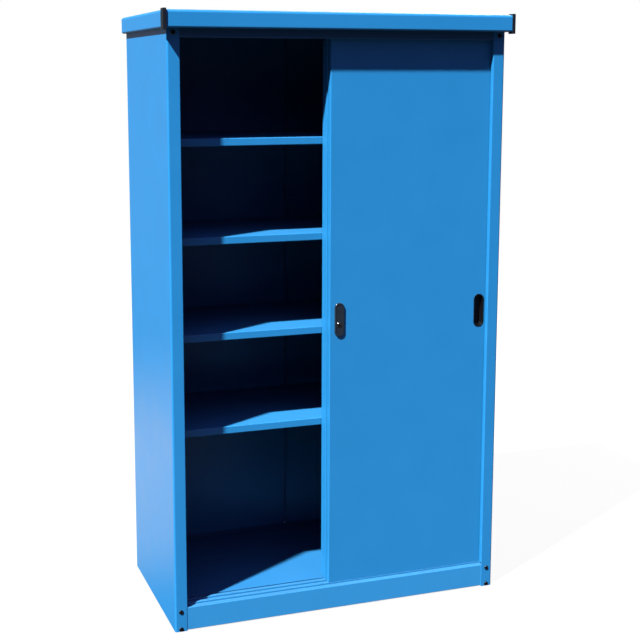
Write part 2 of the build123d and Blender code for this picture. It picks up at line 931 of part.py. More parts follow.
# Key barrel, with a collar behind the retainer and a tail that carries the cam
barrel_front = plate_thickness - inset_depth + barrel_proud
collar_front = boss_depth + retainer_thickness + seat_gap
collar_back = collar_front + collar_thickness
tail_end = door_thickness + cam_gap + cam_thickness
with BuildPart() as lock_barrel:
    with BuildSketch(lock_plane.offset(barrel_front)):
        Circle(barrel_radius)
    extrude(amount=-(barrel_front + collar_back))
    chamfer(lock_barrel.edges().group_by(Axis.Y)[0], barrel_proud)
    with BuildSketch(lock_plane.offset(-collar_front)):
        Circle(barrel_radius + collar_width)
    extrude(amount=-collar_thickness)
    with BuildSketch(lock_plane.offset(-collar_back)):
        Circle(tail_radius)
    extrude(amount=-(tail_end - collar_back))
    with BuildSketch(lock_plane.offset(barrel_front)):
        Rectangle(key_slot_width, key_slot_length)
    extrude(amount=-key_slot_depth, mode=Mode.SUBTRACT)
hand_over(lock_barrel, "lock_barrel")


def ring_sector(inner, outer, start, end):
    """Part of a ring between two radii and two angles in degrees."""
    with BuildSketch() as sector:
        with BuildLine():
            outer_arc = CenterArc((0, 0), outer, start, end - start)
            inner_arc = CenterArc((0, 0), inner, start, end - start)
            Line(outer_arc @ 0, inner_arc @ 0)
            Line(outer_arc @ 1, inner_arc @ 1)
        make_face()
    return sector.sketch


# Cam: a hook that swings down round the keeper when the key turns a quarter turn
with BuildPart() as lock_cam:
    with BuildSketch(lock_plane.offset(-tail_end)):
        add(ring_sector(cam_slot_outer, cam_radius, cam_start, cam_end))
        add(ring_sector(tail_radius, cam_radius, cam_end - cam_arm, cam_end))
        Circle(cam_hub)
        Circle(tail_radius, mode=Mode.SUBTRACT)
    extrude(amount=cam_thickness)
hand_over(lock_cam, "lock_cam")

# Keeper: a pin on a plate behind the rear door's skin
keeper_plane = front_plane(keeper_x, lock_z, rear_face)
with BuildPart() as lock_keeper:
    with BuildSketch(keeper_plane.offset(-sheet)):
        Rectangle(keeper_base, 2 * keeper_base)
    extrude(amount=-keeper_base_thickness)
    with BuildSketch(keeper_plane.offset(-sheet)):
        Circle(keeper_radius)
    extrude(amount=sheet + rear_face - door_back - seat_gap)
hand_over(lock_keeper, "lock_keeper")
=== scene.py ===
"""Looks of a sheet-steel cabinet with sliding doors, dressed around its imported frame."""

import json
import logging
import math
from dataclasses import dataclass, field, replace
from enum import Enum
from functools import cached_property, reduce
from typing import Any, Sequence

import bmesh
import bpy
import numpy as np
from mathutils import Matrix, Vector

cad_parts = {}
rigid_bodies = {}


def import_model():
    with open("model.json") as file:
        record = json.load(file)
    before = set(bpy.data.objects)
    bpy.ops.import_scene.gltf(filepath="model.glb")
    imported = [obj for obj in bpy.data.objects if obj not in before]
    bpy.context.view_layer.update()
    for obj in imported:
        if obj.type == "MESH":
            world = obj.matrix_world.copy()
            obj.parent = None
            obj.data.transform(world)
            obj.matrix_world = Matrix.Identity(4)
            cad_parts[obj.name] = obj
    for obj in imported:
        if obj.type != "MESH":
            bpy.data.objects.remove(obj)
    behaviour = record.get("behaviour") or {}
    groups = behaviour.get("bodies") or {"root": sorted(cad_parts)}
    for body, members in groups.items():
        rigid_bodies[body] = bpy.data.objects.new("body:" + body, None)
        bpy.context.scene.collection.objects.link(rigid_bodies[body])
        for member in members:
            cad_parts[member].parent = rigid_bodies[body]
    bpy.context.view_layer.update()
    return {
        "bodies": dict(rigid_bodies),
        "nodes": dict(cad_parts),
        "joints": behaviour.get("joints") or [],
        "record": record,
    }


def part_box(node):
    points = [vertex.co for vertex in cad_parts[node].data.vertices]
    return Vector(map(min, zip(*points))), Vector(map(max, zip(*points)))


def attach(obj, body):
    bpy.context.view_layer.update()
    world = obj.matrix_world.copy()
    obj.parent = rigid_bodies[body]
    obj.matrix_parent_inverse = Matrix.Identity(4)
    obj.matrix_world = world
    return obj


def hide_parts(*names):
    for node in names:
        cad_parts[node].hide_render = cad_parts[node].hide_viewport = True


LOG = logging.getLogger("cabinet")
MM = 0.001
FRAME_PIXELS = 640
SENSOR_MM = 36.0
MERGE_DISTANCE = 0.002 * MM
SMOOTH_ANGLE = math.radians(35.0)

Color = tuple[float, float, float]
Triple = tuple[float, float, float]
Pair = tuple[float, float]
Socket = bpy.types.NodeSocket

BLACK: Color = (0.0, 0.0, 0.0)
WHITE: Color = (1.0, 1.0, 1.0)


class MixSocket(Enum):
    """Places of the colour sockets on a Mix node."""

    FIRST = 6
    SECOND = 7
    RESULT = 2


class Graph:
    """Thin helper around one node tree, so that shaders read as formulas."""

    def __init__(self, tree: bpy.types.NodeTree) -> None:
        """Keeps the tree that the nodes go into."""
        self.tree = tree

    @classmethod
    def emptied(cls, owner: bpy.types.Material | bpy.types.World) -> "Graph":
        """Graph of a material or a world, with no node left in it."""
        owner.use_nodes = True
        owner.node_tree.nodes.clear()
        return cls(owner.node_tree)

    def node(self, kind: str, *values: Any, **settings: Any) -> bpy.types.Node:
        """Adds a node.

        Args:
            kind: Blender's name of the node type.
            values: What its first inputs take, in their order.
            settings: Properties to set on the node.

        Returns:
            The new node.
        """
        made = self.tree.nodes.new(kind)
        for key, value in settings.items():
            setattr(made, key, value)
        for slot, value in zip(made.inputs, values):
            self.feed(slot, value)
        return made

    def feed(self, target: Socket, value: Any) -> None:
        """Links a socket to the target, or sets the target to a plain value.

        Args:
            target: Input socket.
            value: Output socket, number, vector or colour.
        """
        if isinstance(value, Socket):
            self.tree.links.new(value, target)
        elif target.type == "RGBA" and len(value) == 3:
            target.default_value = (*value, 1.0)
        else:
            target.default_value = value

    def wire(self, node: bpy.types.Node, **values: Any) -> bpy.types.Node:
        """Feeds inputs of a node by their names.

        Args:
            node: The node.
            values: What the inputs take, named with underscores for spaces.

        Returns:
            The same node.
        """
        for key, value in values.items():
            self.feed(node.inputs[key.replace("_", " ")], value)
        return node

    def effect(self, tree: bpy.types.NodeTree, **values: Any) -> bpy.types.Node:
        """Places a shared effect and feeds its inputs by their names."""
        return self.wire(self.node("ShaderNodeGroup", node_tree=tree), **values)

    def math(
        self, operation: str, a: Any, b: Any = 0.0, c: Any = 0.0, clamp: bool = False
    ) -> Socket:
        """Scalar arithmetic.

        Args:
            operation: Blender's name of the operation.
            a: First value.
            b: Second value.
            c: Third value, for the operations that have one.
            clamp: Whether the result is kept between 0 and 1.

        Returns:
            The result.
        """
        made = self.node("ShaderNodeMath", a, b, c, operation=operation, use_clamp=clamp)
        return made.outputs[0]

    def fold(self, operation: str, *values: Any) -> Socket:
        """Joins two or more values, one after the other, by the same operation."""
        return reduce(lambda a, b: self.math(operation, a, b), values)

    def vector(self, operation: str, a: Any, b: Any) -> Socket:
        """Vector arithmetic on two vectors.

        Args:
            operation: Blender's name of the operation.
            a: First vector.
            b: Second vector.

        Returns:
            The resulting vector.
        """
        return self.node("ShaderNodeVectorMath", a, b, operation=operation).outputs[0]

    def length(self, vector: Any) -> Socket:
        """Length of a vector."""
        return self.node("ShaderNodeVectorMath", vector, operation="LENGTH").outputs["Value"]

    def split(self, vector: Any) -> tuple[Socket, Socket, Socket]:
        """The three components of a vector."""
        return tuple(self.node("ShaderNodeSeparateXYZ", vector).outputs)

    def noise(self, vector: Any, scale: Any, detail: float, stretch: float = 0.0) -> Socket:
        """Fractal noise from 0 to 1.

        Args:
            vector: Coordinates in metres.
            scale: Features per metre.
            detail: Octaves of finer noise.
            stretch: How far the pattern is distorted.

        Returns:
            The noise value.
        """
        made = self.node("ShaderNodeTexNoise")
        self.wire(made, Vector=vector, Scale=scale, Detail=detail, Distortion=stretch)
        return made.outputs["Fac"]

    def ramp(
        self, value: Any, low: Any, high: Any, to_low: float = 0.0, to_high: float = 1.0
    ) -> Socket:
        """Smooth step of a value from one range to another.

        Args:
            value: What is mapped.
            low: Start of its range.
            high: End of its range.
            to_low: Result at the start.
            to_high: Result at the end.

        Returns:
            The mapped value.
        """
        ends = (low, high, to_low, to_high)
        made = self.node("ShaderNodeMapRange", value, *ends, interpolation_type="SMOOTHSTEP")
        return made.outputs[0]

    def mix(self, factor: Any, a: Any, b: Any) -> Socket:
        """Colour between two colours.

        Args:
            factor: 0 for the first colour, 1 for the second.
            a: First colour.
            b: Second colour.

        Returns:
            The mixed colour.
        """
        made = self.node("ShaderNodeMix", data_type="RGBA")
        self.feed(made.inputs["Factor"], factor)
        self.feed(made.inputs[MixSocket.FIRST.value], a)
        self.feed(made.inputs[MixSocket.SECOND.value], b)
        return made.outputs[MixSocket.RESULT.value]

    def bump(self, height: Any, depth: float, normal: Socket | None = None) -> Socket:
        """Normal of a relief.

        Args:
            height: Relief from 0 to 1.
            depth: Depth of the relief in metres.
            normal: Normal to start from.

        Returns:
            The bent normal.
        """
        made = self.node("ShaderNodeBump")
        self.wire(made, Strength=1.0, Distance=depth, Height=height)
        if normal is not None:
            self.feed(made.inputs["Normal"], normal)
        return made.outputs["Normal"]


class EffectLibrary:
    """Shader node groups that several finishes share, each built once.

    A scale is in features per metre, and a range is where a mask starts and ends.
    """

    VECTOR_INPUTS = ("Vector", "Low", "High")
    GRAIN_DETAIL = 2.0
    WAVE_SCALE, WAVE_DETAIL = 2.6, 1.0
    BLOTCH_SCALE, BLOTCH_DETAIL = 11.0, 5.0
    RAG_SCALE, RAG_DETAIL = 140.0, 4.0
    RAG_RANGE = (0.42, 0.72)
    LEAST_REACH = 1e-6
    # Painted top shade: how far up a face must look to be darkened, and the clouds it comes in; the
    # specks are splashed grime.
    UP_RANGE = (0.55, 0.95)
    CLOUD_SCALE, CLOUD_DETAIL, CLOUD_STRETCH = 16.0, 6.0, 0.4
    CLOUD_RANGE = (0.34, 0.76)
    THIN_CLOUD = 0.75
    SPECK_SCALE, SPECK_DETAIL = 85.0, 5.0
    SPECK_RANGE = (0.52, 0.78)
    SCRATCH_SLANTS = ((0.35, (26.0, 26.0, 1.6)), (-0.8, (1.4, 1.4, 30.0)))
    SCRATCH_TILT = 0.6
    SCRATCH_SCALE, SCRATCH_DETAIL = 6.0, 3.0
    SCRATCH_WIDTH = 0.006
    PATCH_SCALE, PATCH_DETAIL = 7.0, 2.0
    PATCH_RANGE = (0.5, 0.7)
    # Painted rail shade: which faces count as looking to the front, and the share left at the
    # rails' tops.
    FRONT_RANGE = (-0.9, -0.3)
    RAIL_SHADE_AT_TOP = 0.4

    def _open(
        self, name: str, inputs: Sequence[str], outputs: Sequence[str]
    ) -> tuple[Graph, Any, Any]:
        """Makes an empty group.

        Args:
            name: Name of the group.
            inputs: Names going in; Vector, Low and High are vectors and the rest are numbers.
            outputs: Names of the numbers coming out.

        Returns:
            The graph of the group, its sockets going in and its sockets coming out.
        """
        tree = bpy.data.node_groups.new(name, "ShaderNodeTree")
        for label in inputs:
            kind = "NodeSocketVector" if label in self.VECTOR_INPUTS else "NodeSocketFloat"
            tree.interface.new_socket(label, in_out="INPUT", socket_type=kind)
        for label in outputs:
            tree.interface.new_socket(label, in_out="OUTPUT", socket_type="NodeSocketFloat")
        graph = Graph(tree)
        into, out = graph.node("NodeGroupInput"), graph.node("NodeGroupOutput")
        return graph, into.outputs, out.inputs

    @cached_property
    def coat_relief(self) -> bpy.types.NodeTree:
        """Fine grain, slow waves and blotches, from noise at three scales."""
        names = ("Grain", "Wave", "Blotch")
        graph, into, out = self._open("coat relief", ("Vector", "Grain Scale"), names)
        vector = into["Vector"]
        grain = graph.noise(vector, into["Grain Scale"], self.GRAIN_DETAIL)
        wave = graph.noise(vector, self.WAVE_SCALE, self.WAVE_DETAIL)
        blotch = graph.noise(vector, self.BLOTCH_SCALE, self.BLOTCH_DETAIL)
        for name, pattern in zip(names, (grain, wave, blotch)):
            graph.feed(out[name], pattern)
        return graph.tree

    @cached_property
    def edge_rub(self) -> bpy.types.NodeTree:
        """Mask of a piece's outer edges: the second smallest distance to its box's six faces."""
        names = ("Vector", "Low", "High", "Width")
        graph, into, out = self._open("edge rub", names, ("Mask",))
        vector = into["Vector"]
        inside = graph.vector(
            "MINIMUM",
            graph.vector("SUBTRACT", vector, into["Low"]),
            graph.vector("SUBTRACT", into["High"], vector),
        )
        x, y, z = graph.split(inside)
        least = graph.fold("MINIMUM", x, y, z)
        most = graph.fold("MAXIMUM", x, y, z)
        second = graph.fold("SUBTRACT", graph.fold("ADD", x, y, z), least, most)
        ragged = graph.noise(vector, self.RAG_SCALE, self.RAG_DETAIL)
        ragged = graph.ramp(ragged, *self.RAG_RANGE)
        reach = graph.math("MULTIPLY_ADD", into["Width"], ragged, self.LEAST_REACH)
        near = graph.math("SUBTRACT", 1.0, graph.math("DIVIDE", second, reach), clamp=True)
        graph.feed(out["Mask"], near)
        return graph.tree

    @cached_property
    def top_shade_and_splash(self) -> bpy.types.NodeTree:
        """Mask of painted shade in clouds where the surface looks up, darkening the tops that take
        the most light, and of specks splashed near the floor.
        """
        names = ("Vector", "Dust", "Splash", "Splash Height")
        graph, into, out = self._open("settled dust", names, ("Mask",))
        vector = into["Vector"]
        geometry = graph.node("ShaderNodeNewGeometry")
        up = graph.ramp(graph.split(geometry.outputs["Normal"])[2], *self.UP_RANGE)
        cloud = graph.noise(vector, self.CLOUD_SCALE, self.CLOUD_DETAIL, self.CLOUD_STRETCH)
        cloud = graph.ramp(cloud, *self.CLOUD_RANGE, self.THIN_CLOUD, 1.0)
        height = graph.split(vector)[2]
        fade = graph.ramp(height, 0.0, into["Splash Height"], 1.0, 0.0)
        specks = graph.noise(vector, self.SPECK_SCALE, self.SPECK_DETAIL)
        specks = graph.ramp(specks, *self.SPECK_RANGE)
        shaded_top = graph.fold("MULTIPLY", up, cloud, into["Dust"])
        splashed = graph.fold("MULTIPLY", fade, specks, into["Splash"])
        graph.feed(out["Mask"], graph.math("MAXIMUM", shaded_top, splashed))
        return graph.tree

    @cached_property
    def hairlines(self) -> bpy.types.NodeTree:
        """Fine scratches: noise stretched along two slants and cut to thin lines."""
        graph, into, out = self._open("hairlines", ("Vector", "Density"), ("Mask",))
        lines = []
        for turn, stretch in self.SCRATCH_SLANTS:
            mapping = graph.node("ShaderNodeMapping")
            slant = (turn, turn * self.SCRATCH_TILT, 0.0)
            graph.wire(mapping, Vector=into["Vector"], Rotation=slant, Scale=stretch)
            hills = graph.noise(mapping.outputs[0], self.SCRATCH_SCALE, self.SCRATCH_DETAIL)
            ridge = graph.math("ABSOLUTE", graph.math("SUBTRACT", hills, 0.5))
            lines.append(graph.ramp(ridge, 0.0, self.SCRATCH_WIDTH, 1.0, 0.0))
        patch = graph.noise(into["Vector"], self.PATCH_SCALE, self.PATCH_DETAIL)
        patch = graph.ramp(patch, *self.PATCH_RANGE)
        seen = graph.fold("MULTIPLY", patch, into["Density"], graph.fold("MAXIMUM", *lines))
        graph.feed(out["Mask"], seen)
        return graph.tree

    @cached_property
    def rail_painted_shade(self) -> bpy.types.NodeTree:
        """Mask of painted shade between two heights on faces that look to the front, darkest at the
        foot, standing in for the shade in the track's grooves.
        """
        graph, into, out = self._open("rail dirt", ("Vector", "Foot", "Top", "Dirt"), ("Mask",))
        foot = into["Foot"]
        _, ahead, _ = graph.split(graph.node("ShaderNodeNewGeometry").outputs["Normal"])
        front = graph.ramp(ahead, *self.FRONT_RANGE, 1.0, 0.0)
        _, _, height = graph.split(into["Vector"])
        above = graph.math("GREATER_THAN", height, foot)
        fade = graph.ramp(height, foot, into["Top"], 1.0, self.RAIL_SHADE_AT_TOP)
        graph.feed(out["Mask"], graph.fold("MULTIPLY", front, above, fade, into["Dirt"]))
        return graph.tree


EFFECTS = EffectLibrary()


@dataclass(frozen=True)
class Box:
    """Lowest and highest corner of a piece, in metres."""

    low: Triple
    high: Triple

    @classmethod
    def of_node(cls, node: str) -> "Box":
        """Box of a frame node at rest."""
        low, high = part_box(node)
        return cls(tuple(low), tuple(high))

    def size(self) -> np.ndarray:
        """Extent along the three axes."""
        return np.subtract(self.high, self.low)

    def middle(self) -> np.ndarray:
        """Middle point."""
        return np.add(self.high, self.low) / 2.0


@dataclass(frozen=True)
class Finish:
    """Base of the finishes: a colour that drifts, and the effects that they all use.

    Attributes:
        color: Colour of the coat or the material.
        drift: Share by which blotches lighten and darken the colour.
        roughness: Mean roughness.
        rough_swing: How far the roughness swings over its pattern.
        grain_scale: Grains per metre.
        grain_depth: Depth of the grain.
        rub_width: How far rubbed edges reach.
        rub_color: Colour of rubbed edges.
        rub: How much of that colour shows.
    """

    color: Color
    drift: float = 0.15
    roughness: float = 0.4
    rough_swing: float = 0.18
    grain_scale: float = 1500.0
    grain_depth: float = 0.05 * MM
    rub_width: float = 1.0 * MM
    rub_color: Color = (0.05, 0.055, 0.06)
    rub: float = 0.5

    def _open(self, name: str) -> tuple[bpy.types.Material, Graph, Any, Socket]:
        """Makes a material with one shader.

        Args:
            name: Name of the material.

        Returns:
            The material, its graph, its shader node and the object coordinates.
        """
        material = bpy.data.materials.new(name)
        graph = Graph.emptied(material)
        shader = graph.node("ShaderNodeBsdfPrincipled")
        graph.node("ShaderNodeOutputMaterial", shader.outputs["BSDF"])
        place = graph.node("ShaderNodeTexCoord").outputs["Object"]
        return material, graph, shader, place

    def _relief(self, graph: Graph, place: Socket) -> bpy.types.Node:
        """Places the grain, wave and blotch effect."""
        return graph.effect(EFFECTS.coat_relief, Vector=place, Grain_Scale=self.grain_scale)

    def _rough(self, graph: Graph, pattern: Socket) -> Socket:
        """Roughness that swings about its mean over a pattern from 0 to 1."""
        least = self.roughness - self.rough_swing / 2.0
        return graph.math("MULTIPLY_ADD", pattern, self.rough_swing, least)

    def _drifting(self, graph: Graph, blotch: Socket) -> Socket:
        """The finish's colour, lighter and darker in blotches."""
        dark = tuple(channel * (1.0 - self.drift) for channel in self.color)
        light = tuple(min(channel * (1.0 + self.drift), 1.0) for channel in self.color)
        return graph.mix(blotch, dark, light)

    def _rubbed(self, graph: Graph, place: Socket, box: Box, color: Socket) -> Socket:
        """Colour with the edges of the piece's box rubbed.

        Args:
            graph: Graph of the material.
            place: Object coordinates.
            box: Box of the piece.
            color: Colour away from the edges.

        Returns:
            The colour with its rubbed edges.
        """
        edges = graph.effect(
            EFFECTS.edge_rub, Vector=place, Low=box.low, High=box.high, Width=self.rub_width
        )
        mask = graph.math("MULTIPLY", edges.outputs["Mask"], self.rub)
        return graph.mix(mask, color, self.rub_color)

    def material(self, name: str, box: Box) -> bpy.types.Material:
        """Builds the finish for one piece.

        Args:
            name: Name of the material.
            box: Box whose edges are rubbed.

        Returns:
            The material.
        """
        raise NotImplementedError


@dataclass(frozen=True)
class PowderCoat(Finish):
    """Baked powder coat on sheet steel, with grain, slow waves, splashed specks and rubbed edges,
    and painted shade on its tops and along the feet of rails.

    Attributes:
        wave_depth: Depth of the sheet's slow waves.
        painted_top_shade: How much of the coat that looks up is darkened and roughened in clouds:
            painted shade on the tops, which take the most light.
        shade_and_splash_color: Colour of the coat under that painted shade and under the splashed
            specks.
        shade_and_splash_rough: How much rougher the coat is under that painted shade and the
            specks.
        splash: How much of the coat near the floor is splashed.
        splash_height: Height above the floor up to which the coat is splashed.
        scratches: How many hairlines show.
        scratch_rough: How much rougher the coat is in a hairline.
        bounce_color: Colour that the coat throws on to its neighbours.
        rail_shade: Strength of the painted shade along the feet of raised rails, on faces that look
            to the front.
        rail_shade_color: Colour of the coat under that painted shade.
        rail_shade_foot: Height of the rails' feet.
        rail_shade_top: Height of the rails' tops.
    """

    drift: float = 0.05
    roughness: float = 0.36
    rough_swing: float = 0.12
    grain_scale: float = 620.0
    rub_width: float = 1.6 * MM
    rub_color: Color = (0.30, 0.47, 0.62)
    rub: float = 0.35
    wave_depth: float = 0.6 * MM
    # Painted shade on up-facing coat, in clouds; its colour is shared with the splashed specks.
    painted_top_shade: float = 0.3
    shade_and_splash_color: Color = (0.05, 0.15, 0.28)
    shade_and_splash_rough: float = 0.25
    splash: float = 0.12
    splash_height: float = 0.16
    scratches: float = 0.35
    scratch_rough: float = 0.22
    bounce_color: Color = (0.002, 0.012, 0.03)
    # Painted shade at the feet of raised rails; it is off unless a surface sets it.
    rail_shade: float = 0.0
    rail_shade_color: Color = (0.006, 0.085, 0.21)
    rail_shade_foot: float = 64.0 * MM
    rail_shade_top: float = 69.5 * MM

    def material(self, name: str, box: Box) -> bpy.types.Material:
        """Builds the coat for one piece.

        Args:
            name: Name of the material.
            box: Box whose edges are rubbed.

        Returns:
            The material.
        """
        material, graph, shader, place = self._open(name)
        relief = self._relief(graph, place)
        blotch = relief.outputs["Blotch"]
        # Mask of painted shade on up-facing coat and of specks of grime splashed near the floor.
        shade_and_splash = graph.effect(
            EFFECTS.top_shade_and_splash,
            Vector=place,
            Dust=self.painted_top_shade,
            Splash=self.splash,
            Splash_Height=self.splash_height,
        ).outputs["Mask"]
        lines = graph.effect(EFFECTS.hairlines, Vector=place, Density=self.scratches)
        coat = graph.mix(shade_and_splash, self._drifting(graph, blotch), self.shade_and_splash_color)
        coat = self._rubbed(graph, place, box, coat)
        # Painted shade: darker coat on front-facing faces at the rails' feet, standing in for the
        # shade in the track's grooves.
        if self.rail_shade:
            rail_shaded = graph.effect(
                EFFECTS.rail_painted_shade,
                Vector=place,
                Foot=self.rail_shade_foot,
                Top=self.rail_shade_top,
                Dirt=self.rail_shade,
            ).outputs["Mask"]
            coat = graph.mix(rail_shaded, coat, self.rail_shade_color)
        path = graph.node("ShaderNodeLightPath")
        coat = graph.mix(path.outputs["Is Diffuse Ray"], coat, self.bounce_color)
        rough = graph.math("MULTIPLY_ADD", shade_and_splash, self.shade_and_splash_rough, self._rough(graph, blotch))
        lined = lines.outputs["Mask"]
        rough = graph.math("MULTIPLY_ADD", lined, self.scratch_rough, rough, clamp=True)
        slow = graph.bump(relief.outputs["Wave"], self.wave_depth)
        fine = graph.bump(relief.outputs["Grain"], self.grain_depth, slow)
        graph.wire(shader, Base_Color=coat, Roughness=rough, Normal=fine)
        return material


@dataclass(frozen=True)
class MouldedPlastic(Finish):
    """Moulded plastic, rubber or satin casting with a fine grain and rubbed edges.

    Attributes:
        gloss: Strength of the surface's mirror part.
    """

    gloss: float = 0.5

    def material(self, name: str, box: Box) -> bpy.types.Material:
        """Builds the moulding's surface for one piece.

        Args:
            name: Name of the material.
            box: Box whose edges are rubbed.

        Returns:
            The material.
        """
        material, graph, shader, place = self._open(name)
        relief = self._relief(graph, place)
        grain = relief.outputs["Grain"]
        shade = self._drifting(graph, relief.outputs["Blotch"])
        graph.wire(
            shader,
            Base_Color=self._rubbed(graph, place, box, shade),
            Roughness=self._rough(graph, grain),
            Normal=graph.bump(grain, self.grain_depth),
            Specular_IOR_Level=self.gloss,
        )
        return material


@dataclass(frozen=True)
class PlatedSteel(Finish):
    """Plated or blackened steel with hairlines and cloudy plating.

    Attributes:
        metallic: Share of bare metal in the surface.
        hairline: How many hairlines show.
        hairline_rough: How much rougher the steel is in a hairline.
    """

    drift: float = 0.22
    roughness: float = 0.34
    rough_swing: float = 0.2
    grain_scale: float = 900.0
    grain_depth: float = 0.01 * MM
    metallic: float = 1.0
    hairline: float = 0.8
    hairline_rough: float = 0.2

    def material(self, name: str, box: Box) -> bpy.types.Material:
        """Builds the plating for one piece.

        Args:
            name: Name of the material.
            box: Box whose edges are rubbed.

        Returns:
            The material.
        """
        material, graph, shader, place = self._open(name)
        relief = self._relief(graph, place)
        grain = relief.outputs["Grain"]
        lines = graph.effect(EFFECTS.hairlines, Vector=place, Density=self.hairline)
        shade = self._drifting(graph, relief.outputs["Blotch"])
        lined, rough = lines.outputs["Mask"], self._rough(graph, grain)
        rough = graph.math("MULTIPLY_ADD", lined, self.hairline_rough, rough, clamp=True)
        graph.wire(
            shader,
            Base_Color=self._rubbed(graph, place, box, shade),
            Roughness=rough,
            Normal=graph.bump(grain, self.grain_depth),
            Metallic=self.metallic,
        )
        return material


BLUE_COAT = PowderCoat(color=(0.021, 0.262, 0.615))


class Surface(Enum):
    """Finishes of the cabinet's pieces."""

    OUTSIDE = BLUE_COAT
    SHELF = replace(BLUE_COAT, scratches=0.9)
    # Floor panel: a darker copy of the coat, painted shade on its lit top; more hairlines, and
    # painted rail shade at its front edge.
    FLOOR = replace(BLUE_COAT, color=(0.018, 0.215, 0.52), scratches=1.0, rail_shade=1.0)
    # Header: a darker copy of the coat, painted shade for its place under the lid's overhang.
    HEADER = replace(BLUE_COAT, color=(0.020, 0.14, 0.32))
    # Lid: stronger painted shade on its up-facing coat, and more rubbed edges.
    LID = replace(BLUE_COAT, painted_top_shade=0.7, rub=0.45)
    # Track: a lighter copy of the coat, with painted top shade, painted rail shade, more hairlines
    # and wider rubbed edges.
    TRACK = replace(
        BLUE_COAT,
        color=(0.034, 0.305, 0.68),
        scratches=1.0,
        painted_top_shade=0.6,
        rub_width=2.2 * MM,
        rail_shade=0.45,
    )
    BLACK_PLASTIC = MouldedPlastic(color=(0.004, 0.0045, 0.006), roughness=0.42, gloss=0.3)
    BLACK_SCREW = PlatedSteel(color=(0.004, 0.0045, 0.007), metallic=0.0, roughness=0.28, rub=0.15)
    CAP_PLASTIC = MouldedPlastic(color=(0.009, 0.014, 0.021), roughness=0.42, gloss=0.3)
    LOCK_CASTING = MouldedPlastic(
        color=(0.016, 0.027, 0.041), roughness=0.24, gloss=0.7, rub_color=(0.16, 0.16, 0.19)
    )
    LOCK_BARREL = PlatedSteel(color=(0.24, 0.25, 0.26), roughness=0.22, rub_color=(0.5, 0.5, 0.5))
    ZINC = PlatedSteel(color=(0.56, 0.57, 0.60), rub_color=(0.72, 0.73, 0.75))
    NYLON = MouldedPlastic(color=(0.70, 0.68, 0.63), rub_color=(0.8, 0.8, 0.78))
    DARK_NYLON = MouldedPlastic(color=(0.03, 0.03, 0.035))
    RUBBER = MouldedPlastic(color=(0.016, 0.016, 0.017), roughness=0.7)


class Facing(Enum):
    """Way that a fitting looks: the sign of its outward direction along Y."""

    FRONT = -1.0
    BACK = 1.0


def eased_profile(corners: Sequence[Pair], reach: Sequence[float], steps: int = 6) -> np.ndarray:
    """Profile whose corners are eased.

    Each inner corner gives way to a parabola that starts and ends at its reach from the corner:
    (1-s)^2 times the start, plus 2s(1-s) times the corner, plus s^2 times the end.

    Args:
        corners: Pairs of inset and rise.
        reach: How far from each inner corner its bend starts.
        steps: Points along each bend.

    Returns:
        Array of pairs, one row per point.
    """
    points = np.asarray(corners, float)
    middle = points[1:-1]
    back, ahead = points[:-2] - middle, points[2:] - middle
    cut = np.asarray(reach, float)[:, None]
    start = middle + back / np.linalg.norm(back, axis=1, keepdims=True) * cut
    end = middle + ahead / np.linalg.norm(ahead, axis=1, keepdims=True) * cut
    s = np.linspace(0.0, 1.0, steps)[None, :, None]
    bends = (1 - s) ** 2 * start[:, None] + 2 * s * (1 - s) * middle[:, None] + s**2 * end[:, None]
    return np.vstack([points[:1], bends.reshape(-1, 2), points[-1:]])


def stadium_rings(width: float, height: float, profile: np.ndarray, columns: int) -> np.ndarray:
    """Profile carried round a stadium, which is a circle where height equals width.

    With a ring's radius r = width/2 - inset and its angle a, the point lies at r cos(a) across,
    at r sin(a) plus or minus half of (height - width) along, and at the profile's rise outwards.

    Args:
        width: Width of the stadium.
        height: Height of the stadium.
        profile: Pairs of inset and rise.
        columns: Points round each ring.

    Returns:
        Array of rings, points and the three places across, along and outwards.
    """
    angle = (np.arange(columns) + 0.5) * 2.0 * math.pi / columns
    radius = width / 2.0 - profile[:, :1]
    across = radius * np.cos(angle)
    along = radius * np.sin(angle) + np.sign(np.sin(angle)) * (height - width) / 2.0
    return np.stack([across, along, np.broadcast_to(profile[:, 1:], across.shape)], axis=-1)


def slot_mask(
    across: np.ndarray, along: np.ndarray, width: float, length: float, ease: float
) -> np.ndarray:
    """Share of a slot's depth at each point.

    It is 1 inside half the width and half the length, and falls to 0 over the ease on each side.

    Args:
        across: Places across the slot.
        along: Places along the slot.
        width: Width of the slot.
        length: Length of the slot.
        ease: Width of the slope at its walls.

    Returns:
        Values from 0 to 1.
    """
    inside_width = np.clip((width / 2.0 - np.abs(across)) / ease + 0.5, 0.0, 1.0)
    inside_length = np.clip((length / 2.0 - np.abs(along)) / ease + 0.5, 0.0, 1.0)
    return inside_width * inside_length


def ring_faces(rows: int, columns: int) -> np.ndarray:
    """Four-sided faces between rings: each point and the next, joined with those one ring on.

    Args:
        rows: How many rings there are.
        columns: Points round each ring.

    Returns:
        Array of four point numbers per face.
    """
    row, column = np.meshgrid(np.arange(rows - 1) * columns, np.arange(columns), indexing="ij")
    after = (column + 1) % columns
    corners = (row + column, row + columns + column, row + columns + after, row + after)
    return np.stack(corners, axis=-1).reshape(-1, 4)


def set_out(name: str, data: Any) -> bpy.types.Object:
    """Puts a new object that holds a mesh, a lamp or a camera into the scene."""
    made = bpy.data.objects.new(name, data)
    bpy.context.scene.collection.objects.link(made)
    return made


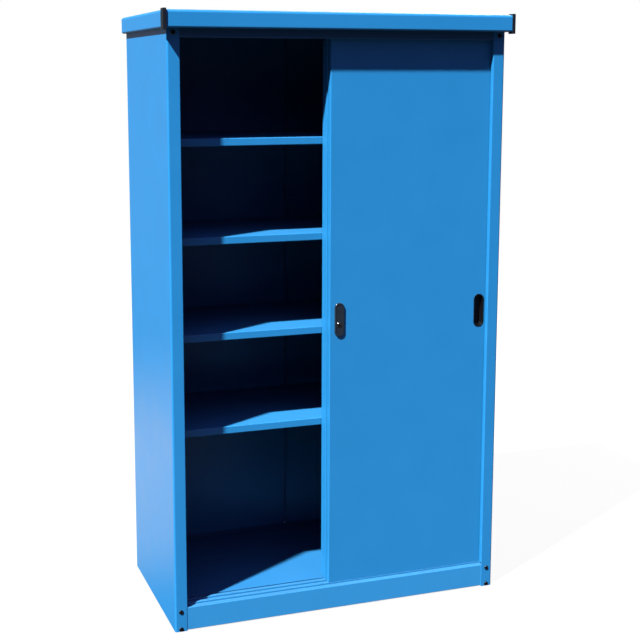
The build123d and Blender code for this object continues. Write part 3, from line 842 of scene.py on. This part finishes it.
def skin(name: str, rings: np.ndarray, centres: np.ndarray, facing: Facing) -> bpy.types.Object:
    """Mesh of one or more equal fittings from their rings, closed at both ends.

    Args:
        name: Name of the piece.
        rings: Array of rings, points and places across, along and outwards.
        centres: Places in the frame at which the fittings sit, one row each.
        facing: Way that the fittings look.

    Returns:
        The piece, whose faces point outwards.
    """
    rows, columns = rings.shape[:2]
    local = np.stack([rings[..., 0], facing.value * rings[..., 2], rings[..., 1]], axis=-1)
    points = (centres[:, None, None, :] + local[None]).reshape(-1, 3)
    first = np.arange(len(centres))[:, None, None] * rows * columns
    quads = (first + ring_faces(rows, columns)[None]).reshape(-1, 4)
    ends = np.array([np.arange(columns), (rows - 1) * columns + np.arange(columns)])
    caps = (first + ends[None]).reshape(-1, columns)
    mesh = bpy.data.meshes.new(name)
    mesh.from_pydata(points.tolist(), [], quads.tolist() + caps.tolist())
    work = bmesh.new()
    work.from_mesh(mesh)
    bmesh.ops.remove_doubles(work, verts=work.verts, dist=MERGE_DISTANCE)
    bmesh.ops.recalc_face_normals(work, faces=work.faces)
    work.to_mesh(mesh)
    work.free()
    mesh.shade_smooth()
    mesh.set_sharp_from_angle(angle=SMOOTH_ANGLE)
    return set_out(name, mesh)


def split_groups(values: np.ndarray, gap: float) -> np.ndarray:
    """Number of the group that each value is in, where sorted values part by more than the gap.

    Args:
        values: Places along one axis.
        gap: Least distance between two groups.

    Returns:
        Group numbers, from 0 upwards.
    """
    order = np.argsort(values)
    groups = np.empty(len(values), int)
    groups[order] = np.concatenate([[0], np.cumsum(np.diff(values[order]) > gap)])
    return groups


@dataclass
class SubAssembly:
    """Pieces of the cabinet that are built and dressed together.

    Attributes:
        frame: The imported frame.
    """

    frame: dict[str, Any]

    def build(self) -> None:
        """Makes the pieces that stand for frame nodes; most sub-assemblies keep theirs."""

    def dress(self) -> None:
        """Gives the pieces their finishes."""

    def _coat(self, surface: Surface, *nodes: str) -> None:
        """Gives frame nodes a finish.

        Args:
            surface: The finish.
            nodes: Names of the nodes.
        """
        for node in nodes:
            thing = self.frame["nodes"][node]
            thing.data.materials.clear()
            thing.data.materials.append(surface.value.material(node, Box.of_node(node)))
            LOG.info("%s: %s", node, surface.name.lower())

    def _stand_in(self, piece: bpy.types.Object, node: str, surface: Surface) -> None:
        """Lets a new piece stand for a frame node, on the node's body.

        Args:
            piece: The new piece.
            node: Name of the node.
            surface: Finish of the piece.
        """
        record = self.frame["record"]
        bodies = record["behaviour"]["bodies"]
        body = next(name for name, members in bodies.items() if node in members)
        piece.data.materials.append(surface.value.material(piece.name, Box.of_node(node)))
        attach(piece, body)
        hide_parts(node)
        LOG.info("%s stands for %s: %s", piece.name, node, surface.name.lower())


@dataclass
class CabinetCase(SubAssembly):
    """Side walls, back, base, header and lid, with the uprights inside.

    Attributes:
        walls: Frame nodes that take the plain outside coat.
    """

    walls: tuple[str, ...] = (
        "left_side_panel", "right_side_panel", "left_back_panel", "right_back_panel",
        "base_back_rail", "top_back_rail", "floor_brace", "track_divider",
        "left_front_upright", "left_back_upright", "right_front_upright", "right_back_upright",
    )

    def dress(self) -> None:
        """Coats the case, with more wear and painted rail shade on the floor and the track, a
        darker painted-shade copy of the coat on the header, and stronger painted top shade on the
        lid.
        """
        self._coat(Surface.OUTSIDE, *self.walls)
        self._coat(Surface.FLOOR, "floor_panel")
        self._coat(Surface.HEADER, "header")
        self._coat(Surface.TRACK, "front_sill")
        self._coat(Surface.LID, "lid")


@dataclass
class LidCorners(SubAssembly):
    """Black caps on the lid's front corners."""

    def dress(self) -> None:
        """Gives both caps their plastic."""
        self._coat(Surface.CAP_PLASTIC, "left_lid_cap", "right_lid_cap")


@dataclass
class ShelfSet(SubAssembly):
    """Shelves on their clips.

    Attributes:
        count: How many shelves there are.
    """

    count: int = 4

    def dress(self) -> None:
        """Coats the shelves and plates their clips."""
        self._coat(Surface.SHELF, *(f"shelf_{number}" for number in range(1, self.count + 1)))
        self._coat(Surface.ZINC, "shelf_clips")


@dataclass
class ScrewRow(SubAssembly):
    """Domed screws with a cross recess that look the same way.

    Attributes:
        node: Frame node that holds the screws.
        facing: Way that the heads look.
        head_radius: Radius of a head.
        head_height: Height of a head.
        shank_radius: Radius of a shank.
        recess_length: Length of each arm of the cross.
        recess_width: Width of each arm.
        recess_depth: Depth of the cross.
        recess_ease: Width of the slope at the cross's walls.
        rows: Rings between the middle of a head and its rim.
        columns: Points round a head.
        piece: The finished screws.
    """

    node: str
    facing: Facing
    head_radius: float = 6.0 * MM
    head_height: float = 2.4 * MM
    shank_radius: float = 2.2 * MM
    recess_length: float = 5.2 * MM
    recess_width: float = 1.1 * MM
    recess_depth: float = 1.0 * MM
    recess_ease: float = 0.35 * MM
    rows: int = 30
    columns: int = 56
    piece: bpy.types.Object = field(init=False)

    def _seats(self) -> tuple[np.ndarray, float]:
        """Finds the screws as clusters of the node's points.

        Returns:
            Places of the heads' seats, one row each, and the length of the shanks.
        """
        mesh = self.frame["nodes"][self.node].data
        flat = np.empty(len(mesh.vertices) * 3, np.float32)
        mesh.vertices.foreach_get("co", flat)
        points = flat.reshape(-1, 3).astype(float)
        column = split_groups(points[:, 0], self.head_radius)
        row = split_groups(points[:, 2], self.head_radius)
        names, member = np.unique(column * len(points) + row, return_inverse=True)
        low = np.full((len(names), 3), np.inf)
        high = -low
        np.minimum.at(low, member, points)
        np.maximum.at(high, member, points)
        tip = low if self.facing is Facing.FRONT else high
        seats = (low + high) / 2.0
        seats[:, 1] = tip[:, 1] - self.facing.value * self.head_height
        return seats, float(np.ptp(points[:, 1]) - self.head_height)

    def build(self) -> None:
        """Makes the screws.

        A head's rise at radius r is its height times the square root of 1 - (r/R)^4, less the
        depth of the cross where the point lies in one of its two arms. The shank is the same
        rings carried inwards.
        """
        seats, shank = self._seats()
        radius = self.head_radius * np.sin(np.linspace(0.0, math.pi / 2.0, self.rows))
        dome = self.head_height * np.sqrt(np.clip(1.0 - (radius / self.head_radius) ** 4, 0.0, 1.0))
        stem = np.array([(self.shank_radius, 0.0), (self.shank_radius, -shank)])
        radius = np.concatenate([radius, stem[:, 0]])
        rise = np.concatenate([dome, stem[:, 1]])
        profile = np.stack([self.head_radius - radius, rise], axis=-1)
        rings = stadium_rings(2.0 * self.head_radius, 2.0 * self.head_radius, profile, self.columns)
        across, along = rings[: self.rows, :, 0], rings[: self.rows, :, 1]
        cross = np.maximum(
            slot_mask(across, along, self.recess_width, self.recess_length, self.recess_ease),
            slot_mask(along, across, self.recess_width, self.recess_length, self.recess_ease),
        )
        rings[: self.rows, :, 2] -= self.recess_depth * cross
        self.piece = skin(f"{self.node}_heads", rings, seats, self.facing)

    def dress(self) -> None:
        """Blackens the screws."""
        self._stand_in(self.piece, self.node, Surface.BLACK_SCREW)


@dataclass
class FlushPull(SubAssembly):
    """Black cup let into a door's skin, for the fingertips.

    Attributes:
        node: Frame node of the pull.
        rim_thickness: How far the rim stands proud of the skin.
        rim_width: Width of the rim.
        wall: Thickness of the cup.
        lip: How far the cup's edge rolls over the rim.
        draft: How much the cup narrows towards its floor.
        floor_bend: Reach of the bend between the cup's wall and its floor.
        mouth_bend: Reach of the bend at the cup's mouth.
        rim_bend: Reach of the bend at the rim's outer edge.
        sharp: Reach of the bends that look sharp.
        columns: Points round the cup.
        piece: The finished cup.
    """

    node: str
    rim_thickness: float = 0.8 * MM
    rim_width: float = 2.5 * MM
    wall: float = 1.3 * MM
    lip: float = 0.5 * MM
    draft: float = 1.1 * MM
    floor_bend: float = 3.2 * MM
    mouth_bend: float = 0.7 * MM
    rim_bend: float = 0.35 * MM
    sharp: float = 0.05 * MM
    columns: int = 72
    piece: bpy.types.Object = field(init=False)

    def build(self) -> None:
        """Makes the cup: from its floor's middle up the wall, over the rim and down the outside."""
        box = Box.of_node(self.node)
        width, _, height = box.size()
        face = box.low[1] + self.rim_thickness
        depth = box.high[1] - face
        middle = width / 2.0
        inner, outer = self.rim_width + self.wall, self.rim_width
        floor = self.wall - depth
        corners = [
            (middle, floor),
            (inner + self.draft, floor),
            (inner, -self.rim_thickness),
            (inner - self.lip, self.rim_thickness),
            (0.0, self.rim_thickness),
            (0.0, 0.0),
            (outer, 0.0),
            (outer, -depth),
            (middle, -depth),
        ]
        eased = [self.floor_bend, self.mouth_bend, self.mouth_bend, self.rim_bend]
        reach = eased + [self.sharp] * (len(corners) - 2 - len(eased))
        rings = stadium_rings(width, height, eased_profile(corners, reach), self.columns)
        place = box.middle()
        place[1] = face
        self.piece = skin(f"{self.node}_cup", rings, place[None], Facing.FRONT)

    def dress(self) -> None:
        """Gives the cup its plastic."""
        self._stand_in(self.piece, self.node, Surface.BLACK_PLASTIC)


@dataclass
class DoorLock(SubAssembly):
    """Lock on the front door: plate, barrel, retainer, cam and keeper.

    Attributes:
        radius: Radius of the barrel.
        chamfer: Chamfer round the barrel's face.
        dish: Depth of the cone that leads the key in.
        dish_radius: Radius of that cone.
        slot_width: Width of the key slot.
        slot_length: Length of the key slot.
        slot_depth: Depth of the key slot.
        slot_ease: Width of the slope at the slot's walls.
        collar_radius: Radius of the collar behind the plate.
        collar_thickness: Thickness of the collar.
        tail_radius: Radius of the tail that carries the cam.
        tail_length: Length of the tail behind the collar.
        rows: Rings across the barrel's face.
        columns: Points round the barrel.
        piece: The finished barrel.
    """

    radius: float = 7.5 * MM
    chamfer: float = 0.6 * MM
    dish: float = 0.9 * MM
    dish_radius: float = 5.6 * MM
    slot_width: float = 1.7 * MM
    slot_length: float = 8.4 * MM
    slot_depth: float = 3.0 * MM
    slot_ease: float = 0.3 * MM
    collar_radius: float = 9.0 * MM
    collar_thickness: float = 1.7 * MM
    tail_radius: float = 3.98 * MM
    tail_length: float = 3.6 * MM
    rows: int = 40
    columns: int = 96
    piece: bpy.types.Object = field(init=False)

    def build(self) -> None:
        """Makes the barrel.

        Its face is flat, less a cone that deepens evenly towards the middle, less the key slot. The
        body, collar and tail are the same rings carried backwards.
        """
        box = Box.of_node("lock_barrel")
        length = box.size()[1]
        collar_back = length - self.tail_length
        collar_front = collar_back - self.collar_thickness
        face = np.linspace(0.0, self.radius - self.chamfer, self.rows)
        sunk = self.dish * np.clip(1.0 - face / self.dish_radius, 0.0, 1.0)
        behind = np.array(
            [
                (self.radius, -self.chamfer),
                (self.radius, -collar_front),
                (self.collar_radius, -collar_front),
                (self.collar_radius, -collar_back),
                (self.tail_radius, -collar_back),
                (self.tail_radius, -length),
            ]
        )
        radius = np.concatenate([face, behind[:, 0]])
        rise = np.concatenate([-sunk, behind[:, 1]])
        widest = self.collar_radius
        profile = np.stack([widest - radius, rise], axis=-1)
        rings = stadium_rings(2.0 * widest, 2.0 * widest, profile, self.columns)
        across, along = rings[: self.rows, :, 0], rings[: self.rows, :, 1]
        key = slot_mask(across, along, self.slot_width, self.slot_length, self.slot_ease)
        rings[: self.rows, :, 2] -= self.slot_depth * key
        place = box.middle()
        place[1] = box.low[1]
        self.piece = skin("lock_barrel_keyed", rings, place[None], Facing.FRONT)

    def dress(self) -> None:
        """Gives the casting, the barrel and the plated parts their finishes."""
        self._coat(Surface.LOCK_CASTING, "lock_plate")
        self._stand_in(self.piece, "lock_barrel", Surface.LOCK_BARREL)
        self._coat(Surface.ZINC, "lock_retainer", "lock_cam", "lock_keeper")


@dataclass
class SlidingDoor(SubAssembly):
    """Door panel with its brace, rollers and guides.

    Attributes:
        name: Name of the door's body, which starts its pieces' names.
        extras: Further coated nodes of this door.
    """

    name: str
    extras: tuple[str, ...] = ()

    def dress(self) -> None:
        """Coats the panel and gives the running gear its finishes."""
        self._coat(Surface.OUTSIDE, f"{self.name}_panel", f"{self.name}_brace", *self.extras)
        self._coat(Surface.ZINC, f"{self.name}_roller_brackets", f"{self.name}_roller_pins")
        self._coat(Surface.NYLON, f"{self.name}_left_roller", f"{self.name}_right_roller")
        self._coat(Surface.DARK_NYLON, f"{self.name}_top_guides")


@dataclass
class DoorStops(SubAssembly):
    """Rubber bumpers on the side walls."""

    def dress(self) -> None:
        """Gives the bumpers their rubber."""
        self._coat(Surface.RUBBER, "door_bumpers")


@dataclass(frozen=True)
class Studio:
    """Floor, light and camera.

    Attributes:
        lens_pixels: Focal length in pixels of the picture.
        centre_x: Pixel column that the lens looks along.
        centre_y: Pixel row that the lens looks along.
        place: Where the camera stands.
        yaw: Turn of the camera to the right, in degrees.
        pitch: Tilt of the camera downwards, in degrees.
        key_towards: Direction to the key light.
        key_power: Strength of the key light.
        key_softness: Angle that the key light fills, in degrees.
        fill_towards: Direction to the fill light behind the cabinet.
        fill_power: Strength of the fill light.
        fill_softness: Angle that the fill light fills, in degrees.
        sky_color: Colour of the light from all round.
        sky_power: Strength of the light from all round.
        horizon_share: Share of that strength that is left at the horizon.
        dome_range: Heights between which the light from all round rises to its full strength.
        back_light: Light of the far wall behind the cabinet.
        wall_range: Turn towards the back between which that wall comes in.
        floor_reach: Radius of the floor.
        floor_spread: Power with which the floor's rings grow.
        floor_fade: Radius at which the floor starts to fade out.
        floor_rim: Share of the floor's radius at which it is gone.
        floor_shades: Darkest and palest colour of the floor.
        floor_specks: Specks of the floor per metre.
        speck_detail: Octaves of finer specks.
        floor_bounce: Colour that the floor throws on to the cabinet.
        floor_roughness: Roughness of the floor.
        floor_glow: Light that the floor sends to the camera.
        floor_shine: Light that the floor behind the cabinet sends to glossy surfaces.
        shine_behind: Places along Y between which that light comes in.
        shine_near: Distances over which it rises to its full strength.
        shine_least: Share of it that is left nearer than that.
        shine_far: Distances over which it ends.
    """

    lens_pixels: float = 1229.62
    centre_x: float = 292.496
    centre_y: float = 265.0
    place: Triple = (-1.179334, -3.192148, 1.446868)
    yaw: float = 19.318
    pitch: float = 8.821
    key_towards: Triple = (-1.7, -1.0, 2.5)
    key_power: float = 8.7
    key_softness: float = 2.0
    fill_towards: Triple = (1.3, 1.5, 1.2)
    fill_power: float = 3.2
    fill_softness: float = 25.0
    sky_color: Color = (1.7, 1.0, 2.2)
    sky_power: float = 0.18
    horizon_share: float = 0.06
    dome_range: Pair = (0.0, 0.9)
    back_light: float = 0.22
    wall_range: Pair = (0.2, 0.9)
    floor_reach: float = 9.0
    floor_spread: float = 1.6
    floor_fade: float = 2.5
    floor_rim: float = 0.95
    floor_shades: tuple[Color, Color] = ((0.055, 0.055, 0.054), (0.065, 0.065, 0.064))
    floor_specks: float = 60.0
    speck_detail: float = 6.0
    floor_bounce: Color = (0.015, 0.015, 0.015)
    floor_roughness: float = 0.85
    floor_glow: float = 0.84
    floor_shine: Color = (0.95, 0.62, 0.22)
    shine_behind: Pair = (-0.1, 0.5)
    shine_near: Pair = (0.5, 1.5)
    shine_least: float = 0.65
    shine_far: Pair = (1.6, 3.4)

    def camera(self) -> None:
        """Places the camera where the photograph was taken from."""
        data = bpy.data.cameras.new("camera")
        data.sensor_fit = "HORIZONTAL"
        data.sensor_width = SENSOR_MM
        data.lens = self.lens_pixels * SENSOR_MM / FRAME_PIXELS
        data.shift_x = (FRAME_PIXELS / 2 - self.centre_x) / FRAME_PIXELS
        data.shift_y = (self.centre_y - FRAME_PIXELS / 2) / FRAME_PIXELS
        camera = set_out("camera", data)
        camera.location = self.place
        camera.rotation_euler = (math.radians(90.0 - self.pitch), 0.0, math.radians(-self.yaw))
        bpy.context.scene.camera = camera
        bpy.context.scene.view_settings.view_transform = "Standard"

    @staticmethod
    def _lamp(name: str, towards: Triple, power: float, softness: float) -> None:
        """Adds a far light.

        Args:
            name: Name of the light.
            towards: Direction to the light.
            power: Strength.
            softness: Angle that it fills, in degrees.
        """
        data = bpy.data.lights.new(name, "SUN")
        data.energy = power
        data.angle = math.radians(softness)
        x, y, z = towards
        lamp = set_out(name, data)
        lamp.rotation_euler = (math.atan2(math.hypot(x, y), z), 0.0, math.atan2(x, -y))

    def lights(self) -> None:
        """Adds the key light, the fill light behind the cabinet and the light from all round."""
        self._lamp("key", self.key_towards, self.key_power, self.key_softness)
        self._lamp("fill", self.fill_towards, self.fill_power, self.fill_softness)
        world = bpy.data.worlds.new("sky")
        bpy.context.scene.world = world
        graph = Graph.emptied(world)
        overhead = tuple(channel * self.sky_power for channel in self.sky_color)
        low = tuple(channel * self.horizon_share for channel in overhead)
        _, back, up = graph.split(graph.node("ShaderNodeTexCoord").outputs["Generated"])
        dome = graph.mix(graph.ramp(up, *self.dome_range), low, overhead)
        wall = graph.ramp(back, *self.wall_range)
        sky = graph.node("ShaderNodeBackground", graph.mix(wall, dome, (self.back_light,) * 3))
        backdrop = graph.node("ShaderNodeBackground", WHITE)
        seen = graph.node("ShaderNodeLightPath").outputs["Is Camera Ray"]
        blend = graph.node("ShaderNodeMixShader", seen, sky.outputs[0], backdrop.outputs[0])
        graph.node("ShaderNodeOutputWorld", blend.outputs[0])

    def _floor_material(self) -> bpy.types.Material:
        """Pale floor that fades out at its rim, and throws little light on to the cabinet."""
        material = bpy.data.materials.new("pale floor")
        graph = Graph.emptied(material)
        shader = graph.node("ShaderNodeBsdfPrincipled")
        place = graph.node("ShaderNodeTexCoord").outputs["Object"]
        path = graph.node("ShaderNodeLightPath")
        seen = path.outputs["Is Camera Ray"]
        specks = graph.noise(place, self.floor_specks, self.speck_detail)
        pale = graph.mix(specks, *self.floor_shades)
        distance = graph.length(place)
        behind = graph.ramp(graph.split(place)[1], *self.shine_behind)
        near = graph.ramp(distance, *self.shine_near, self.shine_least, 1.0)
        far = graph.ramp(distance, *self.shine_far, 1.0, 0.0)
        mirrored = graph.fold("MULTIPLY", near, far, behind, path.outputs["Is Glossy Ray"])
        shine = graph.mix(mirrored, BLACK, self.floor_shine)
        graph.wire(
            shader,
            Base_Color=graph.mix(seen, self.floor_bounce, pale),
            Emission_Color=graph.mix(seen, shine, (self.floor_glow,) * 3),
            Emission_Strength=1.0,
            Roughness=self.floor_roughness,
        )
        fade = graph.ramp(distance, self.floor_fade, self.floor_reach * self.floor_rim)
        clear = graph.node("ShaderNodeBsdfTransparent")
        blend = graph.node("ShaderNodeMixShader", fade, shader.outputs[0], clear.outputs[0])
        graph.node("ShaderNodeOutputMaterial", blend.outputs[0])
        return material

    def floor(self, rings: int = 24, spokes: int = 96) -> None:
        """Lays a round floor: a grid of angles and rings, whose radius grows with a power.

        Args:
            rings: How many rings there are.
            spokes: Points round each ring.
        """
        radius = self.floor_reach * np.linspace(0.0, 1.0, rings + 1) ** self.floor_spread
        angle = np.linspace(0.0, 2.0 * math.pi, spokes, endpoint=False)
        circle = np.stack([np.cos(angle), np.sin(angle), np.zeros(spokes)], axis=-1)
        points = (radius[:, None, None] * circle).reshape(-1, 3)
        mesh = bpy.data.meshes.new("floor")
        mesh.from_pydata(points.tolist(), [], ring_faces(rings + 1, spokes).tolist())
        mesh.materials.append(self._floor_material())
        floor = set_out("floor", mesh)


def main() -> None:
    """Builds the scene in order."""
    logging.basicConfig(level=logging.INFO, format="%(name)s: %(message)s")
    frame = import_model()
    studio = Studio()
    studio.camera()
    studio.lights()
    studio.floor()
    assemblies: list[SubAssembly] = [
        CabinetCase(frame),
        LidCorners(frame),
        ShelfSet(frame),
        ScrewRow(frame, "front_screws", Facing.FRONT),
        ScrewRow(frame, "back_screws", Facing.BACK),
        ScrewRow(frame, "lid_screws", Facing.BACK),
        SlidingDoor(frame, "front_door"),
        FlushPull(frame, "front_door_pull"),
        DoorLock(frame),
        SlidingDoor(frame, "rear_door", ("rear_door_edge_channel",)),
        FlushPull(frame, "rear_door_pull"),
        DoorStops(frame),
    ]
    for assembly in assemblies:
        assembly.build()
        assembly.dress()


if __name__ == "__main__":
    main()
